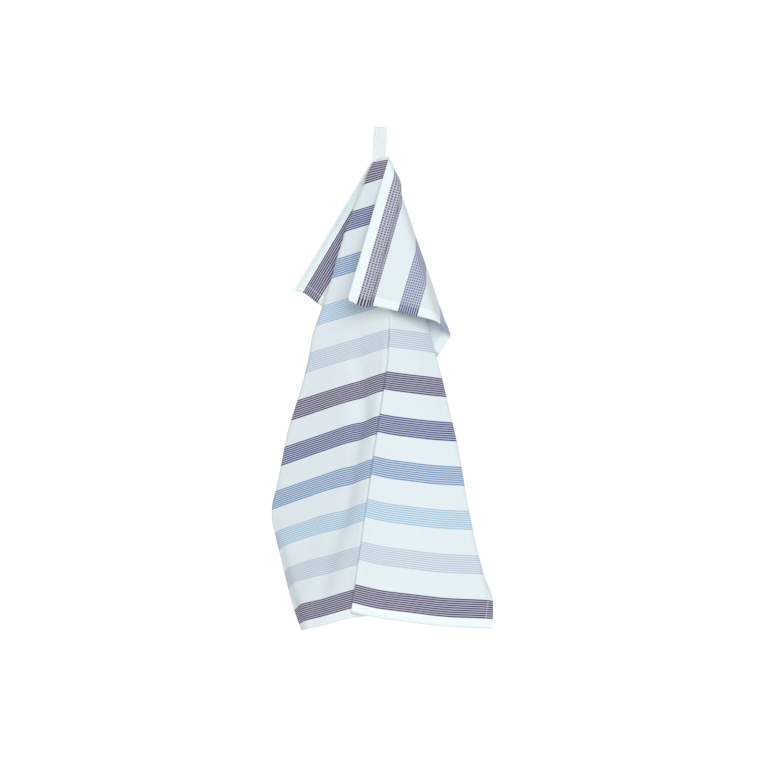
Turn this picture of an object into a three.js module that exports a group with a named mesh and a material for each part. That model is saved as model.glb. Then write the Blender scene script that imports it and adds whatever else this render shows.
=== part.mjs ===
import * as THREE from 'three';
import { mergeVertices } from 'three/addons/utils/BufferGeometryUtils.js';

// A striped tea towel hanging in folds from the tape loop behind its top hem.
// Millimetres, +Z up, +X to the right and -Y toward the viewer. The origin is the
// top of the loop's eye, where a hook carries the towel.

// The cloth as it lies flat: u runs across it from the middle, v runs down from the top edge.
const CLOTH_WIDTH = 500;
const CLOTH_LENGTH = 700;
const CLOTH_THICKNESS = 1.0;
const HEM_DEPTH = 14;
const HALF_WIDTH = CLOTH_WIDTH / 2;

// The hanging tape: a strip folded in half into a loop, with its ends behind the top hem.
const TAPE_WIDTH = 20;
const TAPE_THICKNESS = 1.0;
const TAPE_LENGTH = 51;
const TAPE_LEAN = 3.0;
const EYE_DEPTH = 36;
const EYE_HALF_GAP = 3.6;
const HALF_TAPE = TAPE_WIDTH / 2;

// The front ridge of the folded towel starts at the tape's right edge and drifts to the
// right across the cloth until v = RIDGE_END. Below PLEAT_START a pleat opens behind it.
// The other folds spread from the height FOLDS_MEET, in the hem.
const RIDGE_TOP = { x: 10.4, y: -24.3, z: -50.3 };
const RIDGE_DRIFT = 21;
const RIDGE_END = 300;
const PLEAT_START = 240;
const FOLDS_MEET = 5;

// How the ridge hangs: side lean (degrees, + is to the right) and forward slope.
const LEAN_TOP = 0.9;
const LEAN_LOW = -8.4;
const LEAN_MIDDLE = 300;
const LEAN_SPAN = 90;
const SLOPES = { top: 16, upper: 5, lower: 4.5 };
const SLOPE_CHANGE = { first: 70, firstSpan: 70, second: 330, secondSpan: 200 };

// The hem's middle is pulled back over by the tape.
const HEM_PULL = 70;
const HEM_PULL_HALF = 14;
const HEM_PULL_SPAN = 14;

// The panels slowly turn from their pose at the tape to their upper and lower poses.
const TAPE_POSE = { middle: 29, span: 26 };
const LOW_POSE = { middle: 350, span: 240 };

// The folds from the left side edge to the right one. Each row names the panel that
// begins at the fold. line: where the fold starts; run: how far it moves across for each
// millimetre down; turn: width of the bend; heading: the panel's way in plan (0 is to the
// right, -90 toward the viewer) and rise: its way up, in degrees, at the tape, above, below;
// splits: columns in the panel before it; cuts: columns across its bend; opens: the share
// of its bend that is lost at the foot.
const FIRST_PANEL = { heading: [-18, -18, -18], rise: [57.6, 57.6, 57.6] };
const FOLDS = [
  { name: 'back_left', line: 'tape', start: -10, run: -1.29, turn: 19, snug: 0.7,
    heading: [-212, -212, -212], rise: [44, 44, 44], splits: 4, cuts: 4, opens: 0 },
  { name: 'left_edge', line: 'tape', start: -10, run: -0.494, turn: 30, snug: 0.45,
    heading: [-66, -66, -72], rise: [12, 14, 22], splits: 3, cuts: 3, opens: 0 },
  { name: 'left_body', line: 'curl', start: -10, run: -0.494, turn: 30, snug: 0.45,
    heading: [-26, -27, -32], rise: [8, 14.5, 17], splits: 1, cuts: 3, opens: 0 },
  { name: 'left_valley', line: 'ridge', start: 0, run: -0.62, turn: 40, snug: 0.3,
    heading: [-26, -30, -41], rise: [8, 14, 13], splits: 3, cuts: 2, opens: 0 },
  { name: 'left_inner', line: 'ridge', start: 0, run: -0.42, turn: 40, snug: 0.3,
    heading: [-26, -26, -31], rise: [8, 14, 15], splits: 1, cuts: 2, opens: 0 },
  { name: 'tuck_under', line: 'ridge', start: 0, run: -0.325, turn: 16, snug: 0.3,
    heading: [0, 20, 22], rise: [10, 6, 5], splits: 1, cuts: 3, opens: 0 },
  { name: 'tuck_back', line: 'ridge', start: 0, run: -0.166, turn: 7, snug: 0.3,
    heading: [-180, -157, -157], rise: [8, 3, 2], splits: 1, cuts: 4, opens: 0 },
  { name: 'right_roll', line: 'ridge', start: 0, run: 0, turn: 7, snug: 0.3,
    heading: [0, 10, 20], rise: [-6, -5, -14], splits: 1, cuts: 4, opens: 0 },
  { name: 'right_body', line: 'tape', start: 10, run: 0.09, turn: 40, snug: 0.3,
    heading: [0, 22, 6], rise: [-20, -6, -7.5], splits: 1, cuts: 2, opens: 0 },
  { name: 'right_outer', line: 'tape', start: 10, run: 0.24, turn: 56, snug: 0.2,
    heading: [0, 38, 16], rise: [-35, -9, -3], splits: 1, cuts: 3, opens: 0 },
  { name: 'back_right', line: 'tape', start: 10, run: 0.347, turn: 20, snug: 0.18,
    heading: [0, 180, 180], rise: [-50, -34, -34], splits: 3, cuts: 4, opens: 0.8 },
  { name: 'far_right', line: 'tape', start: 10, run: 0.683, turn: 12, snug: 0.3,
    heading: [0, -2, -2], rise: [-60, -34, -34], splits: 3, cuts: 4, opens: 0 },
  { name: 'flap_turn', line: 'tape', start: 10, run: 1.4, turn: 30, snug: 0.4,
    heading: [-84, -90, -92], rise: [-54, -50, -50], splits: 3, cuts: 3, opens: 0 },
  { name: 'flap_right', line: 'tape', start: 28, run: 1.74, turn: 34, snug: 0.6,
    heading: [-139, -139, -139], rise: [-69.2, -69.2, -69.2], splits: 1, cuts: 3, opens: 0 },
];
const LAST_SPLITS = 4;
const SNUG_GROWTH = 90;

// The left-hand folds wander: first away from the ridge, then toward it. Below CURL_START
// the side edge curls in.
const LEFT_SHARE = { back_left: 1.35, left_edge: 1, left_body: 1 };
const LEFT_WANDER = [
  { from: 0, to: 140, by: -9 },
  { from: 140, to: 380, by: 14 },
];
const CURL_START = 440;
const CURL_RUN = 0.17;

// The lower left corner is turned up a little toward the viewer.
const CORNER_CURL = { reach: 70, lift: 12, out: 14 };

// The right-hand fold opens toward the lower corner, where it runs out.
const OPENING = { middle: 600, span: 160 };

// Rows of the cloth's mesh crowd toward the tape, where the folds meet.
const ROWS = 32;
const ROW_CROWDING = 1.45;
const LEAST_COLUMN = 1.0;

const rad = THREE.MathUtils.degToRad;

// A soft step from 0 to 1 as t goes from -0.5 to 0.5.
function softStep(t) {
  return THREE.MathUtils.smoothstep(t, -0.5, 0.5);
}

function ridgeAt(v) {
  const part = THREE.MathUtils.clamp((v - HEM_DEPTH) / (RIDGE_END - HEM_DEPTH), 0, 1);
  return HALF_TAPE + RIDGE_DRIFT * part;
}

// Where a fold lies across the cloth at the height v.
function foldAt(fold, v) {
  if (fold.line === 'ridge') {
    return ridgeAt(v) + fold.start + fold.run * Math.max(v - PLEAT_START, 0);
  }
  let across = fold.start + fold.run * Math.max(v - FOLDS_MEET, 0);
  for (const wave of LEFT_WANDER) {
    const part = THREE.MathUtils.clamp((v - wave.from) / (wave.to - wave.from), 0, 1);
    across += (LEFT_SHARE[fold.name] ?? 0) * wave.by * Math.sin(Math.PI * part);
  }
  if (fold.line === 'curl') {
    return Math.max(across + 1, -HALF_WIDTH + CURL_RUN * (v - CURL_START));
  }
  return across;
}

function turnAt(fold, v) {
  const part = fold.snug + (v - HEM_DEPTH) / SNUG_GROWTH;
  return fold.turn * THREE.MathUtils.clamp(part, fold.snug, 1);
}

// How much of its bend a fold has at the height v.
function bendAt(fold, v) {
  return 1 - fold.opens * softStep((v - OPENING.middle) / OPENING.span);
}

// The way in which the cloth runs across at (u, v): the sum of the bends passed so far.
function acrossAt(u, v) {
  const free = softStep((v - TAPE_POSE.middle) / TAPE_POSE.span);
  const low = softStep((v - LOW_POSE.middle) / LOW_POSE.span);
  const pose = ([tape, upper, lower]) => {
    const above = THREE.MathUtils.lerp(tape, upper, free);
    return THREE.MathUtils.lerp(above, lower, low);
  };
  let heading = pose(FIRST_PANEL.heading);
  let rise = pose(FIRST_PANEL.rise);
  let last = FIRST_PANEL;
  for (const fold of FOLDS) {
    const bent = bendAt(fold, v) * softStep((u - foldAt(fold, v)) / turnAt(fold, v));
    heading += (pose(fold.heading) - pose(last.heading)) * bent;
    rise += (pose(fold.rise) - pose(last.rise)) * bent;
    last = fold;
  }
  const level = Math.cos(rad(rise));
  return new THREE.Vector3(
    Math.cos(rad(heading)) * level,
    Math.sin(rad(heading)) * level,
    Math.sin(rad(rise)),
  );
}

// The way in which the ridge runs down at v.
function downAt(v) {
  const bend = softStep((v - LEAN_MIDDLE) / LEAN_SPAN);
  const lean = rad(THREE.MathUtils.lerp(LEAN_TOP, LEAN_LOW, bend));
  const first = softStep((v - SLOPE_CHANGE.first) / SLOPE_CHANGE.firstSpan);
  const second = softStep((v - SLOPE_CHANGE.second) / SLOPE_CHANGE.secondSpan);
  const upper = THREE.MathUtils.lerp(SLOPES.top, SLOPES.upper, first);
  const slope = rad(THREE.MathUtils.lerp(upper, SLOPES.lower, second));
  return new THREE.Vector3(
    Math.sin(lean) * Math.cos(slope),
    -Math.sin(slope),
    -Math.cos(lean) * Math.cos(slope),
  );
}

// Adds up short steps of a direction from one place on the cloth to another.
function walk(point, from, to, direction) {
  const count = Math.max(1, Math.ceil(Math.abs(to - from)));
  const step = (to - from) / count;
  for (let i = 0; i < count; i += 1) {
    point.addScaledVector(direction(from + (i + 0.5) * step), step);
  }
  return point;
}

function ridgePoint(v) {
  const top = new THREE.Vector3(RIDGE_TOP.x, RIDGE_TOP.y, RIDGE_TOP.z);
  return walk(top, HEM_DEPTH, v, downAt);
}

// The cloth's middle surface at (u, v).
function clothPoint(start, u, v) {
  const point = walk(start.clone(), ridgeAt(v), u, (at) => acrossAt(at, v));
  const above = Math.max(HEM_DEPTH - v, 0);
  const pulled = softStep((HEM_PULL_HALF - Math.abs(u)) / HEM_PULL_SPAN) * above;
  point.y += pulled * (Math.sin(rad(HEM_PULL)) - Math.sin(rad(SLOPES.top)));
  point.z += pulled * (Math.cos(rad(HEM_PULL)) - Math.cos(rad(SLOPES.top)));
  const fromCorner = u + HALF_WIDTH + CLOTH_LENGTH - v;
  const curled = Math.max(1 - fromCorner / CORNER_CURL.reach, 0) ** 2;
  point.y -= CORNER_CURL.out * curled;
  point.z += CORNER_CURL.lift * curled;
  return point;
}

// The columns of one row: a few across each bend and a few in each panel between.
function columnsAt(v) {
  const list = [-HALF_WIDTH, HALF_WIDTH];
  let edge = -HALF_WIDTH;
  for (const fold of FOLDS) {
    const middle = foldAt(fold, v);
    const half = turnAt(fold, v) / 2;
    for (let i = 1; i <= fold.splits; i += 1) {
      list.push(edge + ((middle - half - edge) * i) / (fold.splits + 1));
    }
    for (let i = 0; i < fold.cuts; i += 1) {
      list.push(middle - half + (2 * half * i) / (fold.cuts - 1));
    }
    edge = middle + half;
  }
  for (let i = 1; i <= LAST_SPLITS; i += 1) {
    list.push(edge + ((HALF_WIDTH - edge) * i) / (LAST_SPLITS + 1));
  }
  list.sort((a, b) => a - b);
  list[0] = -HALF_WIDTH;
  for (let i = 1; i < list.length; i += 1) {
    list[i] = Math.max(list[i], list[i - 1] + LEAST_COLUMN);
  }
  list[list.length - 1] = HALF_WIDTH;
  for (let i = list.length - 2; i > 0; i -= 1) {
    list[i] = Math.min(list[i], list[i + 1] - LEAST_COLUMN);
  }
  list[0] = -HALF_WIDTH;
  return list;
}

// The whole cloth: a thin slab whose grid is laid on the folded surface.
function clothGeometry() {
  const grid = [];
  for (let row = 0; row <= ROWS; row += 1) {
    const v = CLOTH_LENGTH * (row / ROWS) ** ROW_CROWDING;
    const start = ridgePoint(v);
    grid.push(columnsAt(v).map((u) => clothPoint(start, u, v)));
  }
  const last = grid[0].length - 1;
  const normalAt = (row, column) => {
    const right = grid[row][Math.min(column + 1, last)].clone();
    right.sub(grid[row][Math.max(column - 1, 0)]);
    const down = grid[Math.min(row + 1, ROWS)][column].clone();
    down.sub(grid[Math.max(row - 1, 0)][column]);
    return down.cross(right).normalize();
  };
  const slab = new THREE.BoxGeometry(last, ROWS, CLOTH_THICKNESS, last, ROWS, 1);
  const place = slab.attributes.position;
  for (let i = 0; i < place.count; i += 1) {
    const column = Math.round(place.getX(i) + last / 2);
    const row = Math.round(ROWS / 2 - place.getY(i));
    const point = grid[row][column].clone();
    point.addScaledVector(normalAt(row, column), place.getZ(i));
    place.setXYZ(i, point.x, point.y, point.z);
  }
  slab.deleteAttribute('normal');
  slab.deleteAttribute('uv');
  return mergeVertices(slab, 1e-4);
}

// The tape seen from its side: two straps that part round the eye and meet below it.
function tapeGeometry() {
  const bottom = -EYE_DEPTH;
  const outer = EYE_HALF_GAP + TAPE_THICKNESS;
  const side = new THREE.Shape();
  side.moveTo(-TAPE_THICKNESS, -TAPE_LENGTH);
  side.lineTo(TAPE_THICKNESS, -TAPE_LENGTH);
  side.lineTo(TAPE_THICKNESS, bottom);
  side.bezierCurveTo(TAPE_THICKNESS, bottom * 0.6, outer * 2.1, TAPE_THICKNESS, 0, TAPE_THICKNESS);
  side.bezierCurveTo(-outer * 2.1, TAPE_THICKNESS, -TAPE_THICKNESS, bottom * 0.6,
    -TAPE_THICKNESS, bottom);
  side.lineTo(-TAPE_THICKNESS, -TAPE_LENGTH);
  const eye = new THREE.Path();
  eye.moveTo(0, bottom);
  eye.bezierCurveTo(0, bottom * 0.55, EYE_HALF_GAP * 2.25, 0, 0, 0);
  eye.bezierCurveTo(-EYE_HALF_GAP * 2.25, 0, 0, bottom * 0.55, 0, bottom);
  side.holes.push(eye);
  const strip = new THREE.ExtrudeGeometry(side, {
    depth: TAPE_WIDTH,
    bevelEnabled: false,
    curveSegments: 10,
  });
  strip.translate(0, 0, -HALF_TAPE);
  strip.rotateX(Math.PI / 2);
  strip.rotateZ(-Math.PI / 2);
  strip.rotateY(rad(TAPE_LEAN));
  return strip;
}

const cottonWhite = new THREE.MeshStandardMaterial({
  color: 0xe8f0f2,
  roughness: 0.9,
  metalness: 0,
});
const tapeWhite = new THREE.MeshStandardMaterial({
  color: 0xf2f2f0,
  roughness: 0.85,
  metalness: 0,
});

const towel = new THREE.Group();

const cloth = new THREE.Mesh(clothGeometry(), cottonWhite);
cloth.name = 'towel_cloth';
towel.add(cloth);

const loop = new THREE.Mesh(tapeGeometry(), tapeWhite);
loop.name = 'hanging_loop';
towel.add(loop);

export default towel;
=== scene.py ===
import math

import bpy
import numpy as np
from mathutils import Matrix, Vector


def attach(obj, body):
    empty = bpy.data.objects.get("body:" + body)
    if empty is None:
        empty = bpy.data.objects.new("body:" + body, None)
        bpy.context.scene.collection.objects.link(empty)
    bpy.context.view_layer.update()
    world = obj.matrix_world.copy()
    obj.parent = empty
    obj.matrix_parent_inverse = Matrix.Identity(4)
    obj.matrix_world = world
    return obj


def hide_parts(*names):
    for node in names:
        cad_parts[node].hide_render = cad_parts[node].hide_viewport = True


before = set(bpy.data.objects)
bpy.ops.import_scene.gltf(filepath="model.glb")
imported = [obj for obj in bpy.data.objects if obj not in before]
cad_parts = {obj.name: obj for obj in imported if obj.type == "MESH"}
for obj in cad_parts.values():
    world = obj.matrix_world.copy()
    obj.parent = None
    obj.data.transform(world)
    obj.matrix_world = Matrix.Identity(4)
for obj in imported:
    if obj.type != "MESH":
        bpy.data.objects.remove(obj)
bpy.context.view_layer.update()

# Camera. The towel is seen level, from straight in front and from far off, so that
# one millimetre is nearly the same 0.661 pixels all over it.
PICTURE_PIXELS = 768
PIXELS_PER_METRE = 661.0
HOOK_PIXEL = (380.5, 127.5)
CAMERA_AWAY = 6.0
SENSOR = 36.0

camera_data = bpy.data.cameras.new("camera")
camera = bpy.data.objects.new("camera", camera_data)
bpy.context.scene.collection.objects.link(camera)
camera.location = (
    (PICTURE_PIXELS / 2 - HOOK_PIXEL[0]) / PIXELS_PER_METRE,
    -CAMERA_AWAY,
    (HOOK_PIXEL[1] - PICTURE_PIXELS / 2) / PIXELS_PER_METRE,
)
camera.rotation_euler = (math.pi / 2, 0, 0)
camera_data.sensor_width = SENSOR
camera_data.lens = SENSOR * CAMERA_AWAY / (PICTURE_PIXELS / PIXELS_PER_METRE)
bpy.context.scene.camera = camera
bpy.context.scene.view_settings.view_transform = "Standard"

# Light and floor. A bright white studio: even light from all round, one large soft lamp
# in front and a little above, a weak one at each side, one high behind for the towel's
# back, and a pale floor well below.
BACKDROP_COLOUR = (1.0, 1.0, 1.0, 1.0)
BACKDROP_STRENGTH = 1.05
ROOM_COLOUR = (0.96, 0.97, 0.995, 1.0)
ROOM_STRENGTH = 0.42
LAMPS_AIM_AT = Vector((0, 0, -0.4))
LAMPS = [
    # name, place, size, power
    ("front", (0.75, -5.0, 1.1), 3.0, 157.0),
    ("left", (-4.0, -1.2, 0.6), 2.0, 23.0),
    ("right", (4.0, -1.2, 0.6), 2.0, 12.0),
    ("back", (0.0, 4.5, 3.5), 2.5, 210.0),
]
FLOOR_BELOW = -1.3
FLOOR_HALF = 1.1
FLOOR_COLOUR = (0.9, 0.9, 0.9, 1)
FLOOR_ROUGHNESS = 0.9

world = bpy.data.worlds.new("studio")
world.use_nodes = True
backdrop = world.node_tree.nodes["Background"]
backdrop.inputs["Color"].default_value = BACKDROP_COLOUR
backdrop.inputs["Strength"].default_value = BACKDROP_STRENGTH
room_light = world.node_tree.nodes.new("ShaderNodeBackground")
room_light.inputs["Color"].default_value = ROOM_COLOUR
room_light.inputs["Strength"].default_value = ROOM_STRENGTH
seen = world.node_tree.nodes.new("ShaderNodeLightPath")
either = world.node_tree.nodes.new("ShaderNodeMixShader")
world.node_tree.links.new(seen.outputs["Is Camera Ray"], either.inputs[0])
world.node_tree.links.new(room_light.outputs[0], either.inputs[1])
world.node_tree.links.new(backdrop.outputs[0], either.inputs[2])
world.node_tree.links.new(either.outputs[0], world.node_tree.nodes["World Output"].inputs[0])
bpy.context.scene.world = world

for name, place, size, power in LAMPS:
    lamp = bpy.data.lights.new(name, "AREA")
    lamp.shape = "SQUARE"
    lamp.size = size
    lamp.energy = power
    holder = bpy.data.objects.new(name, lamp)
    holder.location = place
    aim = LAMPS_AIM_AT - Vector(place)
    holder.rotation_euler = aim.to_track_quat("-Z", "Y").to_euler()
    bpy.context.scene.collection.objects.link(holder)

floor_corners = [
    (x * FLOOR_HALF, y * FLOOR_HALF, FLOOR_BELOW)
    for x, y in ((-1, -1), (1, -1), (1, 1), (-1, 1))
]
floor_mesh = bpy.data.meshes.new("floor")
floor_mesh.from_pydata(floor_corners, [], [(0, 1, 2, 3)])
floor = bpy.data.objects.new("floor", floor_mesh)
bpy.context.scene.collection.objects.link(floor)
floor_paint = bpy.data.materials.new("pale_floor")
floor_paint.use_nodes = True
floor_shader = floor_paint.node_tree.nodes["Principled BSDF"]
floor_shader.inputs["Base Color"].default_value = FLOOR_COLOUR
floor_shader.inputs["Roughness"].default_value = FLOOR_ROUGHNESS
floor_mesh.materials.append(floor_paint)

# Towel cloth. One rectangle of plain-woven cotton, 50 by 70 cm, with eleven woven bands
# of fine coloured lines. All four sides are turned under twice and sewn. It hangs in
# folds from the tape behind the middle of its top hem.
MM_PER_METRE = 1000.0
CLOTH_WIDTH = 500.0
CLOTH_LENGTH = 700.0
HALF_WIDTH = CLOTH_WIDTH / 2
HEM_DEPTH = 14.0
HALF_TAPE = 10.0

# Sizes are in millimetres. On the flat cloth, u runs across from its middle and v runs
# down from its top edge. The front ridge starts at the tape's right edge and drifts to
# the right down to RIDGE_END. From PLEAT_START down, a pleat opens behind it. The other
# folds spread from FOLDS_MEET.
RIDGE_TOP = np.array([10.4, -24.3, -50.3])
RIDGE_DRIFT = 21.0
RIDGE_END = 300.0
PLEAT_START = 240.0
FOLDS_MEET = 5.0

# How the ridge hangs, in degrees: its lean to the right, and its slope to the front. A
# change is given by the height at its middle and the length that it takes.
LEAN_TOP = 0.9
LEAN_LOW = -8.4
LEAN_CHANGE = (300, 90)
SLOPE_TOP = 16.0
SLOPE_UPPER = 5.0
SLOPE_LOWER = 4.5
UPPER_SLOPE_CHANGE = (70, 70)
LOWER_SLOPE_CHANGE = (330, 200)

# The panels turn from their pose at the tape to the one above, and then to the one below.
# Bends are tight at the tape and widen at a steady rate until they have their full width.
UPPER_POSE_CHANGE = (29, 26)
LOWER_POSE_CHANGE = (350, 240)
FOOT_OPENING = (600, 160)
BEND_GROWTH = 90

# The tape tips the hem's middle backwards. The left-hand folds wander, first away from
# the ridge and then toward it. From CURL_START down, the left side edge stays curled
# behind, wider and wider. The lower left corner is turned up a little to the front.
HEM_TIP = 70.0
HEM_TIP_HALF = 14
LEFT_SHARE = {"back_left": 1.35, "left_edge": 1, "left_body": 1}
LEFT_WANDER = [(0, 140, -9), (140, 380, 14)]
CURL_START = 440
CURL_RUN = 0.17
CURL_BESIDE = 1
CORNER_REACH = 70.0
CORNER_LIFT = 12.0
CORNER_OUT = 14.0

# The folds from the left side edge to the right one, as in the solid cloth. Each has the
# line that it is measured from, where it starts, how far it moves across for each
# millimetre down, its bend's width, the share of that at the tape, the heading and rise
# in degrees of the panel that it begins, each at the tape, above and below, and the
# share of its bend that is lost at the foot.
FIRST_PANEL = ((-18, -18, -18), (57.6, 57.6, 57.6))
FOLDS = [
    # name, from, start, run, width, snug, headings, rises, opens
    ("back_left", "tape", -10, -1.29, 19, 0.7, (-212, -212, -212), (44, 44, 44), 0),
    ("left_edge", "tape", -10, -0.494, 30, 0.45, (-66, -66, -72), (12, 14, 22), 0),
    ("left_body", "curl", -10, -0.494, 30, 0.45, (-26, -27, -32), (8, 14.5, 17), 0),
    ("left_valley", "ridge", 0, -0.62, 40, 0.3, (-26, -30, -41), (8, 14, 13), 0),
    ("left_inner", "ridge", 0, -0.42, 40, 0.3, (-26, -26, -31), (8, 14, 15), 0),
    ("tuck_under", "ridge", 0, -0.325, 16, 0.3, (0, 20, 22), (10, 6, 5), 0),
    ("tuck_back", "ridge", 0, -0.166, 7, 0.3, (-180, -157, -157), (8, 3, 2), 0),
    ("right_roll", "ridge", 0, 0, 7, 0.3, (0, 10, 20), (-6, -5, -14), 0),
    ("right_body", "tape", 10, 0.09, 40, 0.3, (0, 22, 6), (-20, -6, -7.5), 0),
    ("right_outer", "tape", 10, 0.24, 56, 0.2, (0, 38, 16), (-35, -9, -3), 0),
    ("back_right", "tape", 10, 0.347, 20, 0.18, (0, 180, 180), (-50, -34, -34), 0.8),
    ("far_right", "tape", 10, 0.683, 12, 0.3, (0, -2, -2), (-60, -34, -34), 0),
    ("flap_turn", "tape", 10, 1.4, 30, 0.4, (-84, -90, -92), (-54, -50, -50), 0),
    ("flap_right", "tape", 28, 1.74, 34, 0.6, (-139, -139, -139), (-69.2, -69.2, -69.2), 0),
]

# The cloth is laid out in short steps, then cut into a grid whose rows crowd toward the
# tape and whose columns crowd into the sharp folds.
STEP = 0.5
ROW_COUNT = 190
COLUMN_COUNT = 244
ROW_CROWDING = 1.2
COLUMN_CROWDING = 6.0
CROWDED_SHARE = 0.55


def soft_step(t):
    """A soft step from 0 to 1 as t goes from -0.5 to 0.5."""
    t = np.clip(t + 0.5, 0.0, 1.0)
    return t * t * (3 - 2 * t)


def changed(v, change):
    """How much of a change is done at the height v."""
    middle, span = change
    return soft_step((v - middle) / span)


def mix(a, b, part):
    return a + (b - a) * part


def ridge_at(v):
    """Where the ridge lies across the flat cloth at the height v."""
    return HALF_TAPE + RIDGE_DRIFT * np.clip((v - HEM_DEPTH) / (RIDGE_END - HEM_DEPTH), 0, 1)


def fold_at(name, line, start, run, v):
    """Where a fold lies across the flat cloth at the height v."""
    if line == "ridge":
        return ridge_at(v) + start + run * max(v - PLEAT_START, 0)
    across = start + run * max(v - FOLDS_MEET, 0)
    for begin, end, by in LEFT_WANDER:
        part = min(max((v - begin) / (end - begin), 0), 1)
        across += LEFT_SHARE.get(name, 0) * by * math.sin(math.pi * part)
    if line == "curl":
        return max(across + CURL_BESIDE, -HALF_WIDTH + CURL_RUN * (v - CURL_START))
    return across


def at_places(wanted, places, line):
    """The points of a line at the wanted places along it."""
    return np.stack([np.interp(wanted, places, line[:, k]) for k in range(3)], axis=-1)


def ridge_line(heights):
    """The front ridge of the folded towel, found by adding up short steps down."""
    fine = np.arange(0, CLOTH_LENGTH + STEP, STEP)
    lean = np.radians(mix(LEAN_TOP, LEAN_LOW, changed(fine, LEAN_CHANGE)))
    upper = mix(SLOPE_TOP, SLOPE_UPPER, changed(fine, UPPER_SLOPE_CHANGE))
    slope = np.radians(mix(upper, SLOPE_LOWER, changed(fine, LOWER_SLOPE_CHANGE)))
    way = np.stack(
        [np.sin(lean) * np.cos(slope), -np.sin(slope), -np.cos(lean) * np.cos(slope)], axis=-1
    )
    steps = (way[1:] + way[:-1]) / 2 * STEP
    line = np.vstack([np.zeros(3), np.cumsum(steps, axis=0)])
    line += RIDGE_TOP - line[np.argmin(np.abs(fine - HEM_DEPTH))]
    return at_places(heights, fine, line)


def cloth_row(v, ridge_point):
    """One row across the cloth: its columns, and where they hang."""
    fine = np.arange(-HALF_WIDTH, HALF_WIDTH + STEP / 2, STEP)
    middle = (fine[1:] + fine[:-1]) / 2
    free = changed(v, UPPER_POSE_CHANGE)
    low = changed(v, LOWER_POSE_CHANGE)

    def pose(three):
        return mix(mix(three[0], three[1], free), three[2], low)

    # the way across at each step adds up the bends passed so far
    heading = np.full_like(middle, pose(FIRST_PANEL[0]))
    rise = np.full_like(middle, pose(FIRST_PANEL[1]))
    crowd = np.ones_like(middle)
    before = FIRST_PANEL
    for name, line, start, run, full, snug, headings, rises, opens in FOLDS:
        place = fold_at(name, line, start, run, v)
        width = full * np.clip(snug + (v - HEM_DEPTH) / BEND_GROWTH, snug, 1)
        turned = pose(headings) - pose(before[0])
        bent = soft_step((middle - place) / width) * (1 - opens * changed(v, FOOT_OPENING))
        heading += turned * bent
        rise += (pose(rises) - pose(before[1])) * bent
        sharp = min(abs(turned) / 180, 1)
        crowd += COLUMN_CROWDING * sharp * np.exp(
            -((middle - place) / (CROWDED_SHARE * width)) ** 2
        )
        before = (headings, rises)
    heading, rise = np.radians(heading), np.radians(rise)
    way = np.stack(
        [np.cos(heading) * np.cos(rise), np.sin(heading) * np.cos(rise), np.sin(rise)], axis=-1
    )
    laid = np.vstack([np.zeros(3), np.cumsum(way * STEP, axis=0)])

    share = np.concatenate([[0], np.cumsum(crowd)])
    columns = np.interp(np.linspace(0, share[-1], COLUMN_COUNT + 1), share, fine)
    row = at_places(columns, fine, laid) - at_places(ridge_at(v), fine, laid) + ridge_point

    tipped = soft_step((HEM_TIP_HALF - np.abs(columns)) / HEM_TIP_HALF) * max(HEM_DEPTH - v, 0)
    tip, slope = math.radians(HEM_TIP), math.radians(SLOPE_TOP)
    row[:, 1] += tipped * (math.sin(tip) - math.sin(slope))
    row[:, 2] += tipped * (math.cos(tip) - math.cos(slope))

    from_corner = columns + HALF_WIDTH + CLOTH_LENGTH - v
    curled = np.maximum(1 - from_corner / CORNER_REACH, 0) ** 2
    row[:, 1] -= CORNER_OUT * curled
    row[:, 2] += CORNER_LIFT * curled
    return columns, row


def outward(points):
    """The cloth's front normal at each point of the grid."""
    right = np.gradient(points, axis=1)
    below = np.gradient(points, axis=0)
    normal = np.cross(below, right)
    return normal / np.maximum(np.linalg.norm(normal, axis=-1, keepdims=True), 1e-9)


heights = CLOTH_LENGTH * (np.arange(ROW_COUNT + 1) / ROW_COUNT) ** ROW_CROWDING
rows = [cloth_row(v, ridge_point) for v, ridge_point in zip(heights, ridge_line(heights))]
across = np.stack([columns for columns, row in rows])
folded = np.stack([row for columns, row in rows])
down = np.repeat(heights[:, None], COLUMN_COUNT + 1, axis=1)
from_edge = np.minimum.reduce(
    [HALF_WIDTH + across, HALF_WIDTH - across, down, CLOTH_LENGTH - down]
)

# Soft unevenness of cloth that has been washed and folded: slow waves down it, slack
# creases, of which the first three make the valley left of the ridge, and a light pucker
# along the sewn hems. None of it reaches the tape, where the cloth is taut.
BROAD_HEIGHT, BROAD_WIDTH = 0.35, 17
BROAD_SWAY, BROAD_SWAY_LENGTH = 1.3, 90
BROAD_BEGINS = (120, 200)
NARROW_HEIGHT, NARROW_WIDTH = 0.3, 9.5
NARROW_SLANT, NARROW_OFFSET = 130, 0.8
NARROW_FADE = 75
PUCKER_HEIGHT, PUCKER_PITCH = 0.22, 8.5
PUCKER_DRIFT, PUCKER_REACH = 23, 5.0
TAUT_TO_SLACK = (45, 60)
CREASE_FADE = 0.5
CREASES = [
    # u, v of both ends, half width, height (+ stands out to the front)
    (-36, 270, -56, 410, 16, -4.6),
    (-50, 380, -108, 540, 16, -5.0),
    (-92, 500, -186, 680, 20, -3.6),
    (9, 290, -114, 690, 9, 1.2),
    (36, 292, -4, 330, 7, 1.1),
    (60, 420, 20, 470, 16, 0.9),
    (120, 520, 70, 600, 20, -0.8),
    (-120, 330, -60, 420, 20, 1.0),
    (-170, 430, -110, 520, 22, -1.0),
    (-60, 560, -150, 610, 20, 0.9),
    (-90, 120, -40, 190, 14, 0.8),
    (150, 60, 215, 110, 15, -0.9),
    (190, 100, 240, 60, 14, 0.8),
    (-205, 60, -150, 110, 15, 0.8),
    (100, 640, 180, 660, 14, 0.7),
]


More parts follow.
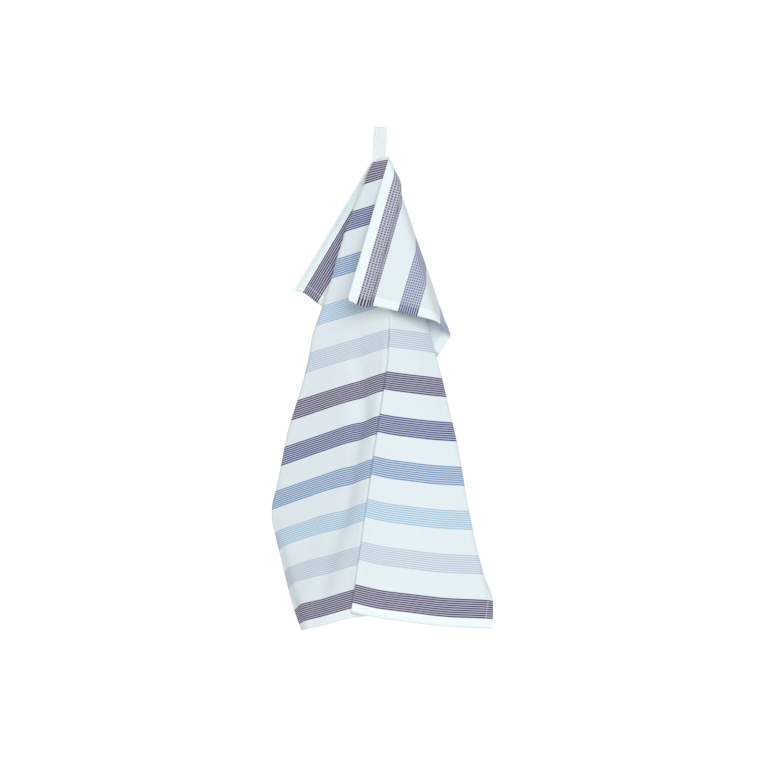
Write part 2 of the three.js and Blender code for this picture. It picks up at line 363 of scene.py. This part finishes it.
def crease(u, v, u0, v0, u1, v1, half, height):
    """A soft ridge or trough that fades out at both its ends."""
    du, dv = u1 - u0, v1 - v0
    length = math.hypot(du, dv)
    along = ((u - u0) * du + (v - v0) * dv) / length
    aside = ((v - v0) * du - (u - u0) * dv) / length
    fade = soft_step((length / 2 - np.abs(along - length / 2)) / (CREASE_FADE * length))
    return height * np.exp(-((aside / half) ** 2)) * fade


sway = BROAD_SWAY * np.sin(down / BROAD_SWAY_LENGTH)
wave = BROAD_HEIGHT * np.sin(across / BROAD_WIDTH + sway) * changed(down, BROAD_BEGINS)
slanted = across / NARROW_WIDTH + down / NARROW_SLANT + NARROW_OFFSET
wave += NARROW_HEIGHT * np.sin(slanted) * np.cos(down / NARROW_FADE)
for made in CREASES:
    wave += crease(across, down, *made)
along_hem = np.where(np.minimum(down, CLOTH_LENGTH - down) < HEM_DEPTH, across, down)
gathers = along_hem * 2 * math.pi / PUCKER_PITCH + np.sin(along_hem / PUCKER_DRIFT)
at_hem = np.exp(-(((from_edge - HEM_DEPTH) / PUCKER_REACH) ** 2))
wave += PUCKER_HEIGHT * np.sin(gathers) * at_hem
wave *= changed(down, TAUT_TO_SLACK)
hung = folded + outward(folded) * wave[..., None]

# The cloth's thickness: one layer in the middle and three in the hem, most of them
# behind, drawn in along the stitches and rounded at the outer edge.
PLAIN_HALF_THICKNESS = 0.3
HEM_BACK_EXTRA = 0.75
HEM_FRONT_EXTRA = 0.2
HEM_STEP = 1.6
EDGE_THINS = 0.55
EDGE_THINNING = (0.9, 1.2)
STITCH_INSIDE = 1.6
STITCH_SINKS, STITCH_SINK_HALF = 0.22, 0.7

in_hem = soft_step((HEM_DEPTH - from_edge) / HEM_STEP)
edge_middle, edge_span = EDGE_THINNING
rounded = 1 - EDGE_THINS * soft_step((edge_middle - from_edge) / edge_span)
from_seam = from_edge - HEM_DEPTH + STITCH_INSIDE
sunk = STITCH_SINKS * np.exp(-((from_seam / STITCH_SINK_HALF) ** 2))
front_half = (PLAIN_HALF_THICKNESS + HEM_FRONT_EXTRA * in_hem - sunk) * rounded
back_half = (PLAIN_HALF_THICKNESS + HEM_BACK_EXTRA * in_hem - sunk) * rounded
normal = outward(hung)
front_side = hung + normal * front_half[..., None]
back_side = hung - normal * back_half[..., None]

# The mesh: a grid for the front, one for the back, and a rim that joins them all round.
width_points = COLUMN_COUNT + 1
sheet_points = (ROW_COUNT + 1) * width_points
points = np.concatenate([front_side.reshape(-1, 3), back_side.reshape(-1, 3)]) / MM_PER_METRE
row_starts = np.arange(ROW_COUNT)[:, None] * width_points
corner = (row_starts + np.arange(COLUMN_COUNT)[None, :]).ravel()
front_faces = np.stack(
    [corner, corner + width_points, corner + width_points + 1, corner + 1], axis=-1
)
back_faces = front_faces[:, ::-1] + sheet_points
loop_around = np.concatenate([
    np.arange(COLUMN_COUNT),
    COLUMN_COUNT + width_points * np.arange(ROW_COUNT),
    ROW_COUNT * width_points + np.arange(COLUMN_COUNT, 0, -1),
    width_points * np.arange(ROW_COUNT, 0, -1),
])
loop_next = np.roll(loop_around, -1)
rim_faces = np.stack(
    [loop_around, loop_next, loop_next + sheet_points, loop_around + sheet_points], axis=-1
)
cloth_faces = np.concatenate([front_faces, back_faces, rim_faces])
shows_reverse = np.zeros(len(cloth_faces), dtype=np.int32)
shows_reverse[len(front_faces):len(front_faces) + len(back_faces)] = 1
cloth_mesh = bpy.data.meshes.new("towel")
cloth_mesh.from_pydata(points.tolist(), [], cloth_faces.tolist())
cloth_mesh.polygons.foreach_set("material_index", shows_reverse)
cloth_mesh.polygons.foreach_set("use_smooth", np.ones(len(cloth_faces), dtype=bool))

# each corner knows its place on the flat cloth, in metres, for the weave
flat_places = np.stack([across + HALF_WIDTH, down], axis=-1).reshape(-1, 2)
flat_places = np.concatenate([flat_places, flat_places]) / MM_PER_METRE
flat_map = cloth_mesh.uv_layers.new(name="flat_cloth")
corner_points = np.zeros(len(cloth_mesh.loops), dtype=np.int32)
cloth_mesh.loops.foreach_get("vertex_index", corner_points)
flat_map.data.foreach_set("uv", flat_places[corner_points].astype(np.float32).ravel())
cloth_mesh.validate()
towel = bpy.data.objects.new("towel", cloth_mesh)
bpy.context.scene.collection.objects.link(towel)


def linear(red, green, blue):
    """A colour from its 0 to 255 values."""
    return tuple(
        c / 255 / 12.92 if c <= 10.3 else ((c / 255 + 0.055) / 1.055) ** 2.4
        for c in (red, green, blue)
    ) + (1.0,)


class Weave:
    """Short names for the nodes that the woven finishes are made of."""

    def __init__(self, name):
        self.material = bpy.data.materials.new(name)
        self.material.use_nodes = True
        self.tree = self.material.node_tree
        self.shader = self.tree.nodes["Principled BSDF"]

    def put(self, kind, **settings):
        made = self.tree.nodes.new(kind)
        for key, value in settings.items():
            setattr(made, key, value)
        return made

    def feed(self, socket, value):
        if hasattr(value, "links"):
            self.tree.links.new(value, socket)
        else:
            socket.default_value = value

    def math(self, operation, *values):
        made = self.put("ShaderNodeMath", operation=operation)
        for socket, value in zip(made.inputs, values):
            self.feed(socket, value)
        return made.outputs[0]

    def plus(self, a, b):
        return self.math("ADD", a, b)

    def less(self, a, b):
        return self.math("SUBTRACT", a, b)

    def times(self, a, b):
        return self.math("MULTIPLY", a, b)

    def over(self, a, b):
        return self.math("DIVIDE", a, b)

    def phase(self, value, pitch):
        """Goes from 0 to 1 in each pitch."""
        return self.math("FRACT", self.over(value, pitch))

    def ripple(self, value, pitch):
        """A sine wave that comes back with each pitch."""
        return self.math("SINE", self.times(value, 2 * math.pi / pitch))

    def blend(self, part, a, b, kind="MIX"):
        made = self.put("ShaderNodeMix", data_type="RGBA", blend_type=kind)
        self.feed(made.inputs[0], part)
        self.feed(made.inputs[6], a)
        self.feed(made.inputs[7], b)
        return made.outputs[2]

    def spread(self, value, begin, end, low, high):
        """Goes from low to high as the value goes from begin to end."""
        made = self.put("ShaderNodeMapRange")
        made.inputs["From Min"].default_value = begin
        made.inputs["From Max"].default_value = end
        made.inputs["To Min"].default_value = low
        made.inputs["To Max"].default_value = high
        self.feed(made.inputs["Value"], value)
        return made.outputs[0]

    def band(self, value, low, high, soft):
        """1 between low and high, with soft edges."""
        ups = self.put("ShaderNodeMapRange", interpolation_type="SMOOTHSTEP")
        downs = self.put("ShaderNodeMapRange", interpolation_type="SMOOTHSTEP")
        for made, edge, sign in ((ups, low, 1), (downs, high, -1)):
            self.feed(made.inputs["Value"], value)
            made.inputs["From Min"].default_value = edge - sign * soft / 2
            made.inputs["From Max"].default_value = edge + sign * soft / 2
        return self.times(ups.outputs[0], downs.outputs[0])

    def noise(self, u, v, along_u, along_v, detail=1.0):
        """Noise stretched by its sizes across and down the cloth, in millimetres."""
        joined = self.put("ShaderNodeCombineXYZ")
        self.feed(joined.inputs[0], self.over(u, along_u))
        self.feed(joined.inputs[1], self.over(v, along_v))
        made = self.put("ShaderNodeTexNoise")
        self.feed(made.inputs["Vector"], joined.outputs[0])
        made.inputs["Scale"].default_value = 1.0
        made.inputs["Detail"].default_value = detail
        return made.outputs[0]

    def flat_places(self, uv_map):
        """The places across and down the flat piece, in millimetres."""
        split = self.put("ShaderNodeSeparateXYZ")
        self.feed(split.inputs[0], self.put("ShaderNodeUVMap", uv_map=uv_map).outputs[0])
        return [self.times(split.outputs[k], MM_PER_METRE) for k in range(2)]

    def emboss(self, relief, strength, depth):
        """Relief that is too fine for the mesh, seen only in how it takes the light."""
        bump = self.put("ShaderNodeBump")
        bump.inputs["Strength"].default_value = strength
        bump.inputs["Distance"].default_value = depth
        self.feed(bump.inputs["Height"], relief)
        self.feed(self.shader.inputs["Normal"], bump.outputs[0])


# The woven bands: five colours that follow each other down the cloth. A band is a block
# of fine lines with a tinted ground between them. On the reverse they show as dashes.
COTTON_WHITE = linear(230, 240, 243)
HEM_WHITE = linear(240, 250, 251)
BANDS = [
    # the lines, the ground between them
    ((66, 48, 92), (196, 200, 214)),
    ((60, 64, 126), (196, 206, 220)),
    ((110, 144, 190), (213, 225, 235)),
    ((166, 200, 222), (220, 233, 240)),
    ((192, 204, 220), (223, 232, 240)),
]
BAND_PITCH = 64.4
BAND_DEPTH = 27.9
BAND_SOFT = 0.3
LINE_PITCH = 3.2
LINE_SHARE = (0.02, 0.58)
LINE_SOFT = 0.12
DASH_PITCH = 4.02
DASH_SHARE_ACROSS = (0.2, 0.78)
DASH_SHARE_DOWN = (0.05, 0.62)
DASH_SOFT = 0.15
DASH_STRENGTH = 0.9
WEFT_WANDER = 0.9
WEFT_WANDER_SIZE = (60.0, 25.0)
WEFT_WANDER_DETAIL = 2.0

# The yarn and the sewing. A slub's size is given across and down the cloth. BELOW_ALL is
# the lower end of a band that has only an upper one.
WARP_SLUB_SIZE, WARP_SLUB_SHARE = (0.9, 60.0), 0.6
WEFT_SLUB_SIZE, WEFT_SLUB_SHARE = (45.0, 0.8), 0.4
SLUB_RANGE = (0.3, 0.7)
SLUB_SHADE = (0.955, 1.0)
YARN_PAIR = 1.24
HEM_SOFT = 0.5
STITCH_WHITE = linear(252, 252, 250)
STITCH_COVERS = 0.65
STITCH_PITCH = 3.2
STITCH_SHARE = (0.12, 0.88)
STITCH_SOFT = 0.15
STITCH_HALF_WIDTH = 0.35
SEAM_SOFT = 0.3
CORNER_SOFT = 0.02
BELOW_ALL = -900.0

# How it takes the light. The bump's depth is in metres.
YARN_RELIEF = 0.25
SLUB_RELIEF = 1.2
STITCH_RELIEF = 1.5
COTTON_BUMP, COTTON_BUMP_DEPTH = 0.35, 0.00012
COTTON_ROUGHNESS = (0.78, 0.98)
COTTON_SPECULAR = 0.25
COTTON_SHEEN, COTTON_SHEEN_ROUGHNESS = 0.12, 0.6


def woven_cotton(name, reverse):
    """The striped plain weave, as its front or its reverse shows it."""
    weave = Weave(name)
    u, v = weave.flat_places("flat_cloth")

    # the weft isn't quite straight
    wander = weave.noise(u, v, *WEFT_WANDER_SIZE, WEFT_WANDER_DETAIL)
    v_woven = weave.plus(v, weave.times(weave.less(wander, 0.5), WEFT_WANDER))

    # which band, how far down it, and where in the pitch of its lines
    from_first = weave.less(v_woven, HEM_DEPTH)
    band = weave.math("FLOOR", weave.over(from_first, BAND_PITCH))
    within = weave.less(from_first, weave.times(band, BAND_PITCH))
    in_band = weave.band(within, 0.0, BAND_DEPTH, BAND_SOFT)
    band_colour = weave.math("FLOORED_MODULO", band, float(len(BANDS)))
    colour_at = weave.over(weave.plus(band_colour, 0.5), float(len(BANDS)))
    line_phase = weave.phase(within, LINE_PITCH)
    line = weave.band(line_phase, *LINE_SHARE, LINE_SOFT)

    def yarns(colours):
        ramp = weave.put("ShaderNodeValToRGB")
        ramp.color_ramp.interpolation = "CONSTANT"
        stops = ramp.color_ramp.elements
        stops.remove(stops[-1])
        for i, colour in enumerate(colours):
            at = i / len(colours)
            stop = stops[0] if i == 0 else stops.new(at)
            stop.position = at
            stop.color = linear(*colour)
        weave.feed(ramp.inputs[0], colour_at)
        return ramp.outputs[0]

    # the sewn hem all round
    from_side = weave.math("MINIMUM", u, weave.less(CLOTH_WIDTH, u))
    from_end = weave.math("MINIMUM", v, weave.less(CLOTH_LENGTH, v))
    from_nearest = weave.math("MINIMUM", from_side, from_end)
    hem = weave.band(from_nearest, BELOW_ALL, HEM_DEPTH, HEM_SOFT)
    if reverse:
        # the lines float as dashes, but a turned-over side hem shows the cloth's front,
        # and the turned-over end hems are plain
        dash_across = weave.band(weave.phase(u, DASH_PITCH), *DASH_SHARE_ACROSS, DASH_SOFT)
        dash_down = weave.band(line_phase, *DASH_SHARE_DOWN, DASH_SOFT)
        dashes = weave.times(weave.times(dash_across, dash_down), DASH_STRENGTH)
        side_hem = weave.band(from_side, BELOW_ALL, HEM_DEPTH, HEM_SOFT)
        end_hem = weave.band(from_end, BELOW_ALL, HEM_DEPTH, HEM_SOFT)
        line = weave.plus(
            weave.times(line, side_hem), weave.times(dashes, weave.less(1.0, side_hem))
        )
        in_band = weave.times(in_band, weave.less(1.0, end_hem))

    line_colours, ground_colours = zip(*BANDS)
    plain = weave.blend(hem, COTTON_WHITE, HEM_WHITE)
    striped = weave.blend(line, yarns(ground_colours), yarns(line_colours))
    colour = weave.blend(in_band, plain, striped)

    # slubs: single warp and weft yarns a little thicker or thinner than the rest
    warp = weave.times(weave.noise(u, v, *WARP_SLUB_SIZE), WARP_SLUB_SHARE)
    weft = weave.times(weave.noise(u, v, *WEFT_SLUB_SIZE), WEFT_SLUB_SHARE)
    slub = weave.plus(warp, weft)
    shade = weave.spread(slub, *SLUB_RANGE, *SLUB_SHADE)
    tone = weave.put("ShaderNodeCombineXYZ")
    for socket in tone.inputs:
        weave.feed(socket, shade)
    colour = weave.blend(1.0, colour, tone.outputs[0], "MULTIPLY")

    # the running stitch that holds the hem: down along the sides, across along the ends
    at_end = weave.band(weave.less(from_end, from_side), BELOW_ALL, 0.0, CORNER_SOFT)
    along = weave.put("ShaderNodeMix", data_type="FLOAT")
    for k, value in ((0, at_end), (2, v), (3, u)):
        weave.feed(along.inputs[k], value)
    seam = HEM_DEPTH - STITCH_INSIDE
    on_seam = weave.band(
        from_nearest, seam - STITCH_HALF_WIDTH, seam + STITCH_HALF_WIDTH, SEAM_SOFT
    )
    stitch_phase = weave.phase(along.outputs[0], STITCH_PITCH)
    stitch = weave.times(weave.band(stitch_phase, *STITCH_SHARE, STITCH_SOFT), on_seam)
    colour = weave.blend(weave.times(stitch, STITCH_COVERS), colour, STITCH_WHITE)
    weave.feed(weave.shader.inputs["Base Color"], colour)

    # over-and-under of the plain weave, the slubs and the stitches, as relief
    crossings = weave.times(weave.ripple(u, YARN_PAIR), weave.ripple(v_woven, YARN_PAIR))
    relief = weave.plus(weave.times(crossings, YARN_RELIEF), weave.times(slub, SLUB_RELIEF))
    relief = weave.plus(relief, weave.times(stitch, STITCH_RELIEF))
    weave.emboss(relief, COTTON_BUMP, COTTON_BUMP_DEPTH)
    rough = weave.spread(slub, 0.0, 1.0, *COTTON_ROUGHNESS)
    weave.feed(weave.shader.inputs["Roughness"], rough)
    weave.shader.inputs["Specular IOR Level"].default_value = COTTON_SPECULAR
    weave.shader.inputs["Sheen Weight"].default_value = COTTON_SHEEN
    weave.shader.inputs["Sheen Roughness"].default_value = COTTON_SHEEN_ROUGHNESS
    return weave.material


cloth_mesh.materials.append(woven_cotton("striped_cotton_front", False))
cloth_mesh.materials.append(woven_cotton("striped_cotton_reverse", True))
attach(towel, "root")
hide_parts("towel_cloth")

# Hanging loop. A strip of narrow white twill tape, folded in half over the hook. Its two
# ends lie together behind the middle of the top hem, where they are sewn down.
TAPE_WIDTH = 20.0
TAPE_HALF_THICKNESS = 0.38
TAPE_LENGTH = 51.0
TAPE_LEAN = math.radians(3.0)
STRAP_HALF_GAP = 0.5
EYE_DEPTH = 36.0
EYE_HALF_GAP = 3.9
EYE_BULGE = 2.1
EYE_SHOULDER = 0.6
EYE_TOP = 0.45
STRAP_POINTS = 18
EYE_POINTS = 60
TAPE_COLUMNS = 24
SELVEDGE_START = 0.93
SELVEDGE_THINS = 0.6
TAPE_RIPPLE, TAPE_RIPPLE_LENGTH, TAPE_RIPPLE_SLANT = 0.12, 4.1, 2
TAPE_WAVER, TAPE_WAVER_LENGTH = 0.008, 2.7


def curve(t, a, b, c, d):
    """A curve from a to d that is drawn toward b and c on its way."""
    s = 1 - t
    return s ** 3 * a + 3 * s ** 2 * t * b + 3 * s * t * t * c + t ** 3 * d


def tape_side():
    """The tape's middle line seen from its side: up a strap, round the eye, down the other."""
    t = np.linspace(0, 1, EYE_POINTS)
    bulge = (EYE_HALF_GAP + TAPE_HALF_THICKNESS) * EYE_BULGE
    out = curve(t, STRAP_HALF_GAP, STRAP_HALF_GAP, bulge, 0)
    rise = curve(t, -EYE_DEPTH, -EYE_DEPTH * EYE_SHOULDER, EYE_TOP, EYE_TOP)
    tail = np.linspace(-TAPE_LENGTH, -EYE_DEPTH, STRAP_POINTS)[:-1]
    strap = np.stack([np.full_like(tail, STRAP_HALF_GAP), tail], axis=-1)
    half = np.vstack([strap, np.stack([out, rise], axis=-1)])
    return np.vstack([half * (-1, 1), half[::-1][1:]])


side_line = tape_side()
way = np.gradient(side_line, axis=0)
way /= np.linalg.norm(way, axis=-1, keepdims=True)
off = np.stack([way[:, 1], -way[:, 0]], axis=-1)
step_lengths = np.linalg.norm(np.diff(side_line, axis=0), axis=-1)
along_tape = np.concatenate([[0], np.cumsum(step_lengths)])
lean_cos, lean_sin = math.cos(TAPE_LEAN), math.sin(TAPE_LEAN)
tape_points, tape_flat = [], []
for face in (1, -1):
    for (y, z), (off_y, off_z), along in zip(side_line, off, along_tape):
        for c in np.linspace(-1, 1, TAPE_COLUMNS + 1):
            selvedge = max(abs(c) - SELVEDGE_START, 0) / (1 - SELVEDGE_START)
            ripple = math.sin(along / TAPE_RIPPLE_LENGTH + TAPE_RIPPLE_SLANT * c) * abs(c)
            lift = face * TAPE_HALF_THICKNESS * (1 - SELVEDGE_THINS * selvedge)
            lift += TAPE_RIPPLE * ripple
            x = c * TAPE_WIDTH / 2 * (1 + TAPE_WAVER * math.sin(along / TAPE_WAVER_LENGTH))
            # the straps lean a little with the towel's pull
            up = z + off_z * lift
            tape_points.append((
                (x * lean_cos + up * lean_sin) / MM_PER_METRE,
                (y + off_y * lift) / MM_PER_METRE,
                (-x * lean_sin + up * lean_cos) / MM_PER_METRE,
            ))
            tape_flat.append(((x + TAPE_WIDTH / 2) / MM_PER_METRE, along / MM_PER_METRE))
tape_rows = len(side_line)
tape_wide = TAPE_COLUMNS + 1
one_face = tape_rows * tape_wide
tape_faces = []
for i in range(tape_rows - 1):
    for j in range(TAPE_COLUMNS):
        a = i * tape_wide + j
        tape_faces.append((a, a + 1, a + tape_wide + 1, a + tape_wide))
        b = a + one_face
        tape_faces.append((b, b + tape_wide, b + tape_wide + 1, b + 1))
    for j in (0, TAPE_COLUMNS):
        a = i * tape_wide + j
        rim = (a, a + tape_wide, a + tape_wide + one_face, a + one_face)
        tape_faces.append(rim if j == 0 else rim[::-1])
for j in range(TAPE_COLUMNS):
    for i in (0, tape_rows - 1):
        a = i * tape_wide + j
        end = (a, a + one_face, a + one_face + 1, a + 1)
        tape_faces.append(end if i == 0 else end[::-1])
tape_mesh = bpy.data.meshes.new("tape_loop")
tape_mesh.from_pydata(tape_points, [], tape_faces)
tape_mesh.polygons.foreach_set("use_smooth", np.ones(len(tape_mesh.polygons), dtype=bool))
tape_map = tape_mesh.uv_layers.new(name="flat_tape")
for corner_of_face in tape_mesh.loops:
    tape_map.data[corner_of_face.index].uv = tape_flat[corner_of_face.vertex_index]
tape_mesh.validate()
tape = bpy.data.objects.new("tape_loop", tape_mesh)
bpy.context.scene.collection.objects.link(tape)

# Its finish: bleached cotton in herringbone twill, whose line turns back at each rib,
# with a raised selvedge along both sides.
TWILL_SHADE = linear(222, 232, 235)
TWILL_WHITE = linear(244, 251, 252)
TWILL_GROOVE = linear(200, 210, 214)
TWILL_GROOVE_SHADES = 0.06
TWILL_RIB = 2.5
TWILL_PITCH = 1.25
TAPE_SLUB_SIZE = (0.7, 18.0)
SELVEDGE_WIDTH = 1.3
SELVEDGE_SOFT = 0.5
TWILL_RELIEF = 0.5
BODY_RELIEF = -0.5
TWILL_BUMP, TWILL_BUMP_DEPTH = 0.4, 0.0002
TWILL_ROUGHNESS = 0.85
TWILL_SPECULAR = 0.25
TWILL_SHEEN = 0.15

twill = Weave("white_twill_tape")
tape_u, tape_v = twill.flat_places("flat_tape")
folded_u = twill.math("PINGPONG", tape_u, TWILL_RIB)
twill_line = twill.ripple(twill.plus(folded_u, tape_v), TWILL_PITCH)
tape_slub = twill.noise(tape_u, tape_v, *TAPE_SLUB_SIZE)
body = twill.band(tape_u, SELVEDGE_WIDTH, TAPE_WIDTH - SELVEDGE_WIDTH, SELVEDGE_SOFT)
twill_relief = twill.plus(twill.times(twill_line, TWILL_RELIEF), tape_slub)
twill_relief = twill.plus(twill_relief, twill.times(body, BODY_RELIEF))
twill.emboss(twill_relief, TWILL_BUMP, TWILL_BUMP_DEPTH)
twill_tone = twill.blend(tape_slub, TWILL_SHADE, TWILL_WHITE)
groove = twill.times(twill_line, TWILL_GROOVE_SHADES)
twill_tone = twill.blend(groove, twill_tone, TWILL_GROOVE)
twill.feed(twill.shader.inputs["Base Color"], twill_tone)
twill.shader.inputs["Roughness"].default_value = TWILL_ROUGHNESS
twill.shader.inputs["Specular IOR Level"].default_value = TWILL_SPECULAR
twill.shader.inputs["Sheen Weight"].default_value = TWILL_SHEEN
tape_mesh.materials.append(twill.material)
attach(tape, "root")
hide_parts("hanging_loop")
